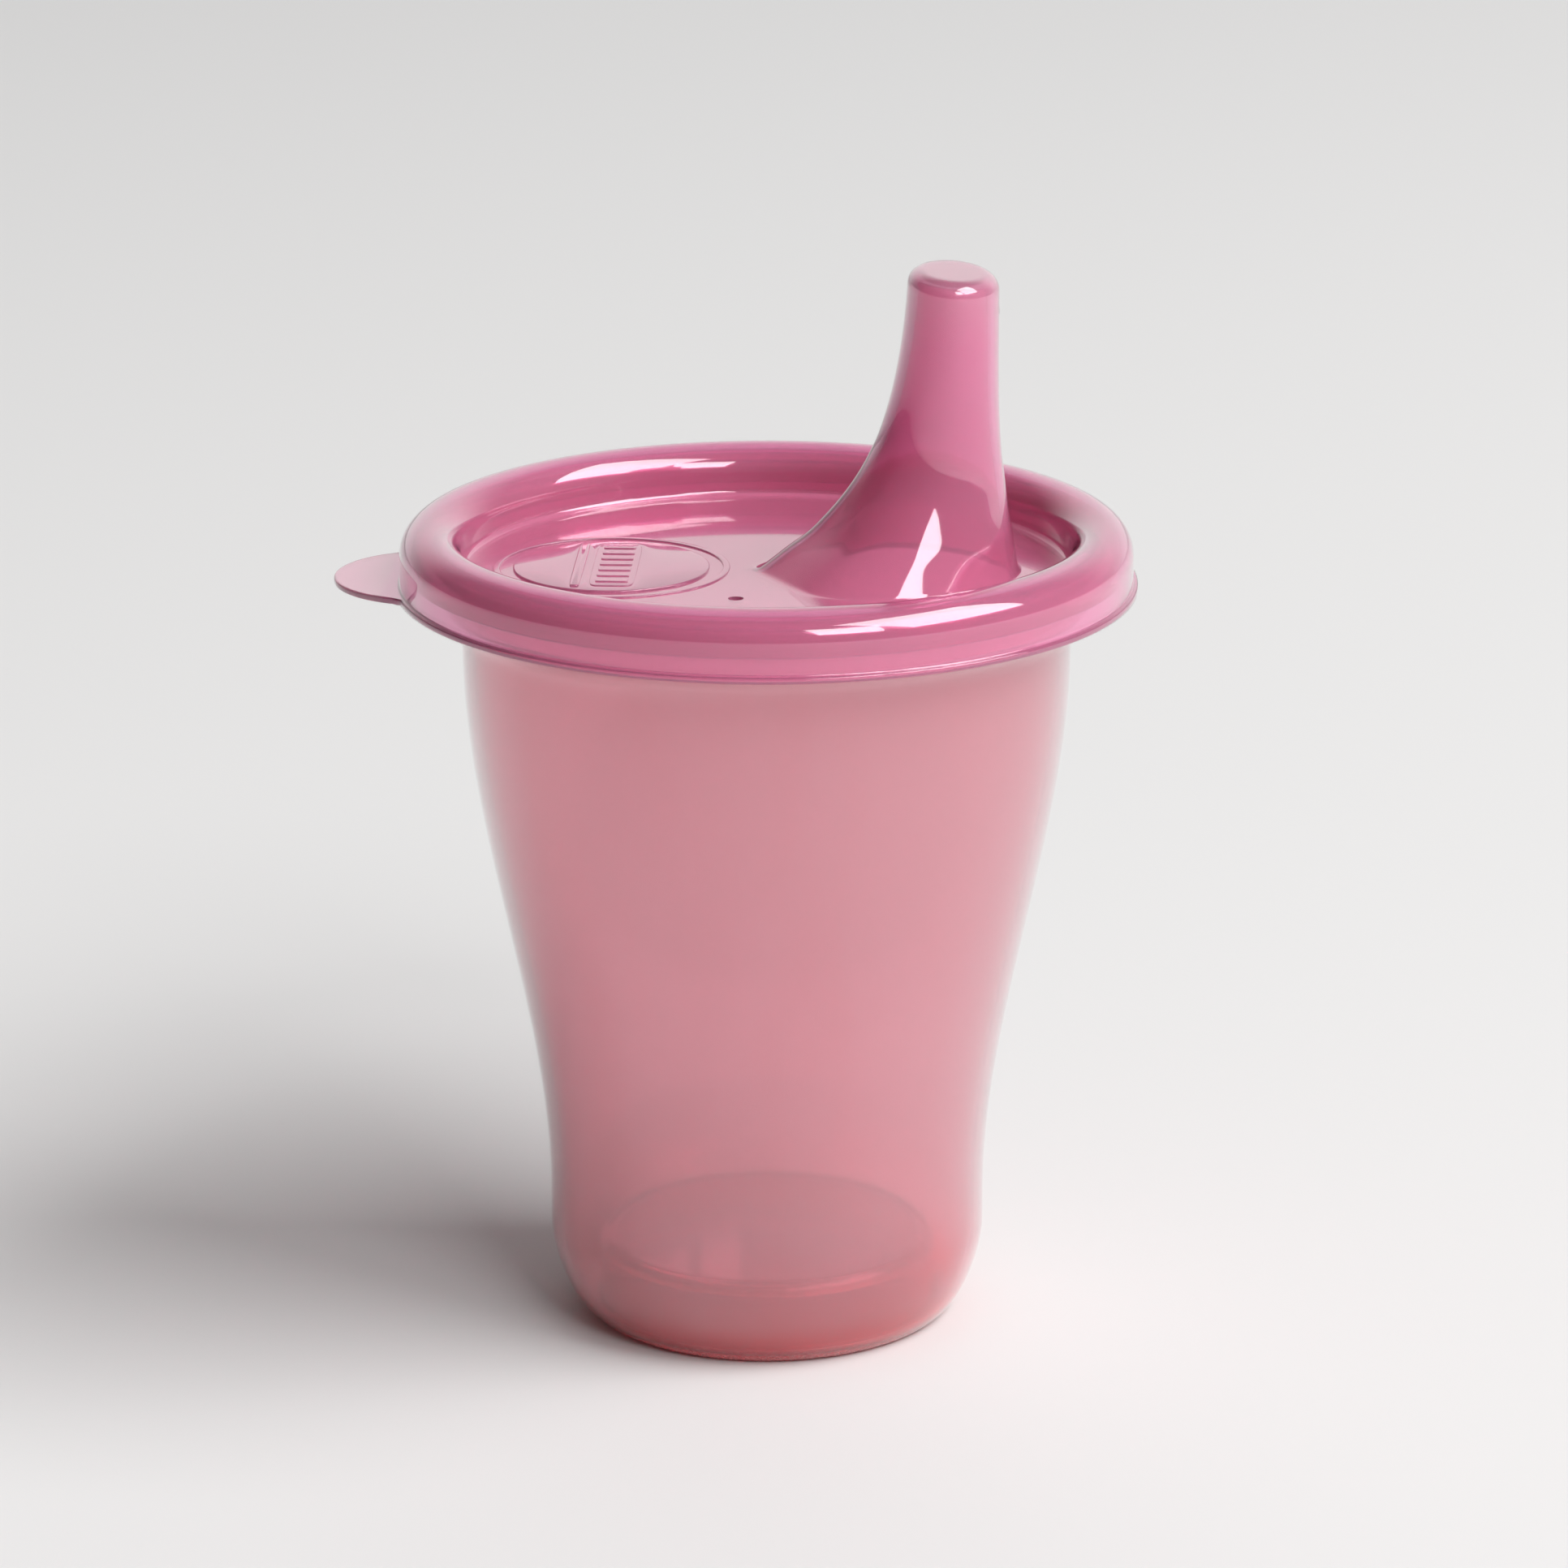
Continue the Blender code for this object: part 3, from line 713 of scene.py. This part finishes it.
def pits(net, place, per_metre, amount):
    """Small round pits: the hearts of Voronoi cells, kept in a share of the cells."""
    settings = {"feature": "F1"}
    sockets = {"Vector": place, "Scale": per_metre, "Randomness": 1.0}
    distance = net.node("ShaderNodeTexVoronoi", settings, sockets, out="Distance")
    colour = net.node("ShaderNodeTexVoronoi", settings, sockets, out="Color")
    chance = net.node("ShaderNodeSeparateColor", sockets={0: colour}, out=0)
    return distance.between(0.1, 0.03) * chance.between(1 - amount, 1 - amount * 0.8)


def plastic(name, colour, roughness, height, fixed):
    """The shader: wires for what varies, fixed for the sockets that are the same all over."""
    net = colour.net
    bump = {"Height": height, "Strength": 1.0, "Distance": 1.0}
    normal = net.node("ShaderNodeBump", sockets=bump)
    sockets = {"Base Color": colour, "Roughness": roughness, "Normal": normal, **fixed}
    shader = net.node("ShaderNodeBsdfPrincipled", sockets=sockets)
    net.node("ShaderNodeOutputMaterial", sockets={"Surface": shader})
    print(name, len(net.tree.nodes), "nodes")


def new_material(name, viewport_colour):
    material = bpy.data.materials.new(name)
    material.use_nodes = True
    material.diffuse_color = (*viewport_colour, 1)
    return material, Net(material.node_tree)


def put_on(piece, material):
    piece.data.materials.clear()
    piece.data.materials.append(material)


# %% [markdown]
# ## The tumbler's plastic
# The tumbler is the clearer of the two: its raised floor shows through the wall. Its gloss is a
# little softer than the lid's. The tint is palest up the wall and turns a deeper red towards the
# rounded foot: partly the thicker plastic there, and partly painted shade where the foot stands on
# the table. The foot ring is rubbed dull by the table.

# %% Rose tumbler
TUMBLER_TINT = (0.99, 0.56, 0.63)
# The deep red of the melt's clouds and of the painted shade at the foot.
TUMBLER_DEEP_AND_SHADE = (1.0, 0.05, 0.09)
SCUFF_TOP = 2.5 * MM


def tumbler_plastic():
    material, net = new_material("rose_tumbler_plastic", TUMBLER_TINT)
    place = net.place()
    z = net.axis(place, "Z")
    clouds = flow_marks(net, place, (90, 90, 22))
    pull_lines = net.noise(place, (1500, 1500, 12), detail=1)
    scratches = hairlines(net, place, (900, 900, 9), (40, 40, 20), 0.1)
    dots = pits(net, place, 420, 0.02)
    # Painted shade: deeper red over the lowest 20 mm, strongest in the last 6 mm, where the foot meets
    # the table.
    foot_painted_shade = z.between(20 * MM, 3 * MM) * 0.3 + z.between(6 * MM, 1 * MM) * 0.7
    scuffed = z.between(SCUFF_TOP, 0.0) * net.noise(place, (2500, 2500, 2500)).between(0.35, 0.6)
    # depth carries both the melt's clouds and the painted shade at the foot.
    depth = (clouds - 0.5) * 0.25 + foot_painted_shade
    colour = net.mixed(depth.math("MAXIMUM", depth, 0.0), TUMBLER_TINT, TUMBLER_DEEP_AND_SHADE)
    colour = net.mixed(scuffed * 0.5, colour, (0.95, 0.72, 0.74))
    roughness = 0.06 + clouds * 0.05 + scratches * 0.05 + scuffed * 0.3
    waves = net.noise(place, (45, 45, 30), detail=1)
    height = waves * 0.05 * MM + pull_lines * 0.0004 * MM - scratches * 0.0002 * MM - dots * 0.008 * MM
    fixed = {"Transmission Weight": 0.8, "IOR": 1.49, "Coat Weight": 1.0, "Coat Roughness": 0.04}
    plastic(material.name, colour, roughness, height, fixed)
    return material


put_on(cup_piece, tumbler_plastic())

# %% [markdown]
# ## The lid's plastic
# The lid is softer and holds more pigment, so it looks deeper, and its skin is glossier. Two things
# vary over it. The spout's tip, which teeth reach, is a little paler and duller. The thin tab lets
# more light through.

# %% Pink lid
LID_TINT = (0.99, 0.36, 0.60)
LID_PALE = (0.98, 0.52, 0.66)
BITE_START, BITE_END = SPOUT_TOP - 9 * MM, SPOUT_TOP


def lid_plastic():
    material, net = new_material("pink_lid_plastic", LID_TINT)
    place = net.place()
    z = net.axis(place, "Z")
    clouds = flow_marks(net, place, (70, 70, 40))
    scratches = hairlines(net, place, (10, 700, 700), (60, 60, 60), 0.05)
    dots = pits(net, place, 380, 0.04)
    bitten = z.between(BITE_START, BITE_END)
    thin = net.axis(place, "X").between(-FLANGE_RADIUS, -FLANGE_RADIUS - 1.5 * MM)
    pale = bitten * 0.5 + thin * 0.75 + (clouds - 0.5) * 0.25
    colour = net.mixed(pale.math("MAXIMUM", pale, 0.0), LID_TINT, LID_PALE)
    roughness = 0.045 + clouds * 0.03 + scratches * 0.06 + bitten * 0.06
    waves = net.noise(place, (60, 60, 45), detail=1)
    height = waves * 0.04 * MM - scratches * 0.0002 * MM - dots * 0.012 * MM
    fixed = {"Transmission Weight": 0.74, "IOR": 1.5, "Coat Weight": 1.0, "Coat Roughness": 0.03}
    plastic(material.name, colour, roughness, height, fixed)
    return material


put_on(lid_piece, lid_plastic())

# %% [markdown]
# ## The table, the room and the window
# The cup stands on a plain white table. A big window lights it from the right, and a small one in
# front on the right is what the spout's flare mirrors. The room is pale behind and dim on the left,
# which gives clear plastic its dark edges: something this glossy is drawn by what it mirrors. The
# room is only a world whose brightness changes with direction, and each window is one area lamp.

# %% Table, room and window
TABLE_HALF = 4.0
TABLE_COLOUR = (0.825, 0.825, 0.825)
ROOM_COLOUR = (1, 0.995, 0.99)
ROOM_BASE, ROOM_BACK, ROOM_RIGHT = 0.16, 0.65, 0.1
ROOM_BACK_RISE = (0.5, 0.95)
LIGHT_COLOUR = (1.0, 0.99, 0.985)
LIGHT_DISTANCE = 3.5
WINDOW = {"azimuth": 107, "elevation": 48, "size": (2.6, 2.24), "power": 124}
SECOND_WINDOW = {"azimuth": 150, "elevation": 38, "size": (1.2, 1.2), "power": 34}


def white_table():
    corners = np.array([(-1, -1, 0), (1, -1, 0), (1, 1, 0), (-1, 1, 0)]) * TABLE_HALF
    mesh = bpy.data.meshes.new("table")
    mesh.from_pydata(corners.tolist(), [], [(0, 1, 2, 3)])
    table = add_piece("table", mesh)
    material, net = new_material("table_white", TABLE_COLOUR)
    sockets = {"Base Color": (*TABLE_COLOUR, 1), "Roughness": 0.7}
    shader = net.node("ShaderNodeBsdfPrincipled", sockets=sockets)
    net.node("ShaderNodeOutputMaterial", sockets={"Surface": shader})
    put_on(table, material)


def room():
    """Brightness by direction: a dim base, more behind the cup, and a little more on the right."""
    world = bpy.data.worlds.new("room")
    world.use_nodes = True
    net = Net(world.node_tree)
    towards = net.node("ShaderNodeTexCoord", out="Generated")
    right, back = net.axis(towards, "X"), net.axis(towards, "Y")
    brightness = ROOM_BASE + back.between(*ROOM_BACK_RISE) * ROOM_BACK + right * ROOM_RIGHT
    sockets = {"Color": (*ROOM_COLOUR, 1), "Strength": brightness}
    shader = net.node("ShaderNodeBackground", sockets=sockets)
    net.node("ShaderNodeOutputWorld", sockets={"Surface": shader})
    bpy.context.scene.world = world


def soft_light(name, azimuth, elevation, size, power):
    """A rectangular lamp that faces the cup. Azimuth runs from +Y towards +X, in degrees.

    Its direction is (sin azimuth cos elevation, cos azimuth cos elevation, sin elevation).
    """
    lamp = bpy.data.lights.new(name, "AREA")
    lamp.shape = "RECTANGLE"
    lamp.size, lamp.size_y = size
    lamp.energy = power
    lamp.color = LIGHT_COLOUR
    turn, up = math.radians(azimuth), math.radians(elevation)
    towards = Vector((math.sin(turn) * math.cos(up), math.cos(turn) * math.cos(up), math.sin(up)))
    holder = bpy.data.objects.new(name, lamp)
    bpy.context.scene.collection.objects.link(holder)
    holder.location = towards * LIGHT_DISTANCE
    holder.rotation_mode = "QUATERNION"
    holder.rotation_quaternion = towards.to_track_quat("Z", "Y")
    print(name, "at", [round(v, 2) for v in holder.location], "m")


white_table()
room()
soft_light("window", **WINDOW)
soft_light("second window", **SECOND_WINDOW)
bpy.context.scene.view_settings.view_transform = "Standard"

# %% [markdown]
# ## The camera
# A long lens stands about 70 cm away and looks a little down, so that the panel shows as a flat
# ellipse and the cup hardly tapers from perspective. The Standard view keeps the tones as they are.

# %% Camera
CAMERA_PLACE = (0.02944, -0.6742, 0.26407)
CAMERA_AZIMUTH, CAMERA_DOWN = math.radians(-2.336), math.radians(16.727)
SENSOR_WIDTH, FOCAL_LENGTH = 36, 144.61
flat = math.cos(CAMERA_DOWN)
across, away = math.sin(CAMERA_AZIMUTH) * flat, math.cos(CAMERA_AZIMUTH) * flat
ahead = Vector((across, away, -math.sin(CAMERA_DOWN)))
camera = bpy.data.objects.new("camera", bpy.data.cameras.new("camera"))
bpy.context.scene.collection.objects.link(camera)
camera.data.sensor_width, camera.data.lens = SENSOR_WIDTH, FOCAL_LENGTH
camera.data.clip_start = 0.01
camera.location = CAMERA_PLACE
camera.rotation_mode = "QUATERNION"
camera.rotation_quaternion = ahead.to_track_quat("-Z", "Y")
bpy.context.scene.camera = camera
print("camera looks along", [round(v, 3) for v in ahead])
